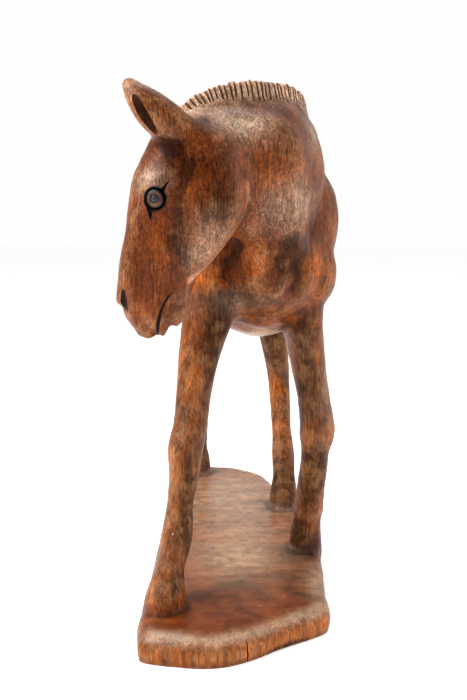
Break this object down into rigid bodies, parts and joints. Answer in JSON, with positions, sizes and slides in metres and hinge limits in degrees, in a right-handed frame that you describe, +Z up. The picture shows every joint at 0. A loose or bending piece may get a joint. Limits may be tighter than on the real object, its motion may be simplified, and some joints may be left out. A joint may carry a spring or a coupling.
{
  "type": "carved wooden figurine",
  "caption": "Carved wooden foal walking on its own flat base, head turned to its right and lowered, with a notched upright mane and round inlaid eyes.",
  "frame": {"origin": "on the flat underside of the base, under the foal's barrel", "axes": "+Z up, the foal walks towards -Y, +X is the foal's left side; its head is turned towards -X"},
  "size_m": [0.0934, 0.2326, 0.2296],
  "materials": {
    "carved_wood": "satin",
    "eye_wood": "satin",
    "pupil_horn": "gloss"
  },
  "bodies": {
    "root": {"carving": "carved_wood", "eye_left": "eye_wood", "eye_right": "eye_wood", "pupil_left": "pupil_horn", "pupil_right": "pupil_horn"}
  },
  "joints": []
}
